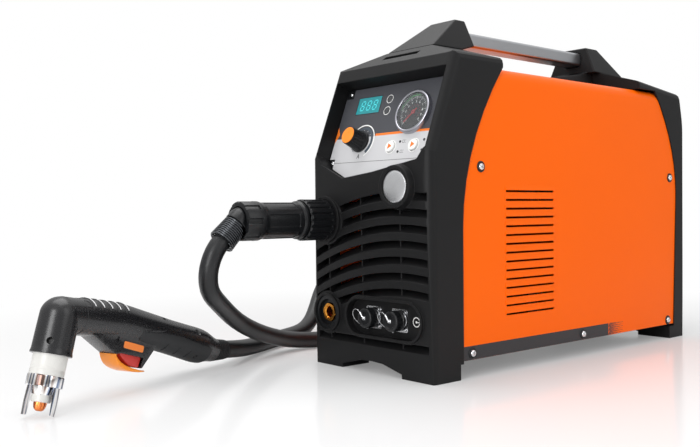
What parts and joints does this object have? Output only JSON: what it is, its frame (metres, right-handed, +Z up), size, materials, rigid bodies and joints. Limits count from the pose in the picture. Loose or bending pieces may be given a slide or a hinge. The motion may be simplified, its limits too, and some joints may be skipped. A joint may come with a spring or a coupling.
{
  "type": "plasma cutter unit",
  "caption": "Portable air plasma cutter: orange steel case between charcoal end frames, bar handle, sloped panel with gauge and knob, hand torch on a long coiled lead.",
  "frame": {"origin": "centre of the trolley bolt pattern, on the underside of the base pan", "axes": "+Z up, +X to the right of a person who faces the control panel, -Y towards that person; the feet stand on z = -20 mm"},
  "size_m": [0.5109, 0.9409, 0.428],
  "materials": {
    "charcoal_plastic": "satin",
    "orange_paint": "satin",
    "black_plastic": "satin",
    "dark_painted_steel": "satin",
    "anodised_bar": "satin",
    "panel_paint": "satin",
    "display_teal": "satin",
    "lamp_lens": "satin",
    "dial_card": "satin",
    "clear_lens": "satin",
    "needle_black": "satin",
    "orange_plastic": "satin",
    "pot_metal": "satin",
    "board_green": "satin",
    "badge_metal": "satin",
    "socket_metal": "satin",
    "brass": "satin",
    "nickel": "satin",
    "signal_red": "satin",
    "zinc": "satin",
    "valve_metal": "satin",
    "hose_blue": "satin",
    "fin_aluminium": "satin",
    "module_black": "satin",
    "transformer_core": "satin",
    "choke_copper": "satin",
    "capacitor_blue": "satin",
    "spring_steel": "satin",
    "lead_rubber": "satin",
    "boot_rubber": "satin",
    "torch_plastic": "satin",
    "lever_orange": "satin",
    "ceramic": "satin",
    "copper": "satin"
  },
  "bodies": {
    "case": {"base_pan": "dark_painted_steel", "sheet_cover": "orange_paint", "front_frame": "charcoal_plastic", "rear_frame": "charcoal_plastic", "handle_bracket_front": "charcoal_plastic", "handle_bracket_rear": "charcoal_plastic", "handle_bar": "anodised_bar", "control_panel": "panel_paint", "display_window": "display_teal", "indicator_lamps": "lamp_lens", "gauge_case": "black_plastic", "gauge_dial": "dial_card", "gauge_lens": "clear_lens", "potentiometer": "pot_metal", "control_board": "board_green", "badge_disc": "badge_metal", "torch_socket": "socket_metal", "earth_socket_body": "black_plastic", "earth_socket_insert": "brass", "control_sockets": "nickel", "cap_lanyards": "boot_rubber", "case_screws": "nickel", "fan_frame": "black_plastic", "mains_switch": "black_plastic", "cable_gland": "black_plastic", "air_regulator": "zinc", "solenoid_valve": "valve_metal", "air_hose": "hose_blue", "main_board": "board_green", "heatsinks": "fin_aluminium", "power_modules": "module_black", "transformer": "transformer_core", "output_choke": "choke_copper", "capacitors": "capacitor_blue", "torch_plug": "black_plastic", "plug_spring": "spring_steel", "lead_loop": "lead_rubber", "lead_coil": "lead_rubber", "lead_tail": "lead_rubber", "torch_boot": "boot_rubber", "torch_shell_left": "torch_plastic", "torch_shell_right": "torch_plastic", "torch_head": "torch_plastic", "shield_cup": "ceramic", "standoff_guide": "nickel", "nozzle": "copper", "electrode": "copper"},
    "gauge_needle": {"gauge_needle": "needle_black"},
    "current_knob": {"current_knob": "black_plastic", "knob_cap": "orange_plastic"},
    "mode_button_left": {"mode_button_left": "black_plastic"},
    "mode_button_right": {"mode_button_right": "black_plastic"},
    "torch_coupling_nut": {"torch_coupling_nut": "black_plastic"},
    "dust_cap_left": {"dust_cap_left": "black_plastic"},
    "dust_cap_right": {"dust_cap_right": "black_plastic"},
    "fan_rotor": {"fan_rotor": "black_plastic"},
    "mains_switch_lever": {"mains_switch_lever": "signal_red"},
    "regulator_knob": {"regulator_knob": "black_plastic"},
    "torch_trigger": {"torch_trigger": "signal_red"},
    "safety_lever": {"safety_lever": "lever_orange"}
  },
  "joints": [
    {"name": "gauge_needle_turn", "type": "hinge", "parent": "case", "child": "gauge_needle", "pos_m": [0.04, -0.23443, 0.28496], "axis": [0, 0.9367, -0.3502], "range_deg": [0, 270]},
    {"name": "current_knob_turn", "type": "hinge", "parent": "case", "child": "current_knob", "pos_m": [-0.0415, -0.2433, 0.25411], "axis": [0, -0.9367, 0.3502], "range_deg": [-135, 135]},
    {"name": "mode_button_left_press", "type": "slide", "parent": "case", "child": "mode_button_left", "axis": [0, 0.9367, -0.3502], "range_m": [0, 0.001], "stiffness_N_per_m": 800, "springref_m": -0.001},
    {"name": "mode_button_right_press", "type": "slide", "parent": "case", "child": "mode_button_right", "axis": [0, 0.9367, -0.3502], "range_m": [0, 0.001], "stiffness_N_per_m": 800, "springref_m": -0.001},
    {"name": "coupling_nut_turn", "type": "hinge", "parent": "case", "child": "torch_coupling_nut", "pos_m": [-0.076, -0.2955, 0.16], "axis": [0, 1, 0], "range_deg": [0, 360]},
    {"name": "dust_cap_left_turn", "type": "hinge", "parent": "case", "child": "dust_cap_left", "pos_m": [0.00125, -0.27, 0.0455], "axis": [0, 1, 0], "range_deg": [0, 360]},
    {"name": "dust_cap_right_turn", "type": "hinge", "parent": "case", "child": "dust_cap_right", "pos_m": [0.04475, -0.27, 0.0455], "axis": [0, 1, 0], "range_deg": [0, 360]},
    {"name": "fan_spin", "type": "hinge", "parent": "case", "child": "fan_rotor", "pos_m": [0.022, 0.238, 0.088], "axis": [0, 1, 0], "continuous": true},
    {"name": "mains_switch_rock", "type": "hinge", "parent": "case", "child": "mains_switch_lever", "pos_m": [-0.055, 0.259, 0.215], "axis": [1, 0, 0], "range_deg": [0, 18]},
    {"name": "regulator_knob_turn", "type": "hinge", "parent": "case", "child": "regulator_knob", "pos_m": [0, 0.27, 0.222], "axis": [0, 1, 0], "range_deg": [-180, 180]},
    {"name": "trigger_squeeze", "type": "hinge", "parent": "case", "child": "torch_trigger", "pos_m": [-0.09013, -0.54567, 0.0285], "axis": [0.9259, 0.3778, 0], "range_deg": [0, 6], "stiffness_Nm_per_rad": 0.6, "springref_deg": -5.73},
    {"name": "safety_lever_open", "type": "hinge", "parent": "case", "child": "safety_lever", "pos_m": [-0.08741, -0.55234, 0.0296], "axis": [-0.9259, -0.3778, 0], "range_deg": [0, 17], "stiffness_Nm_per_rad": 0.2, "springref_deg": -11.46}
  ]
}
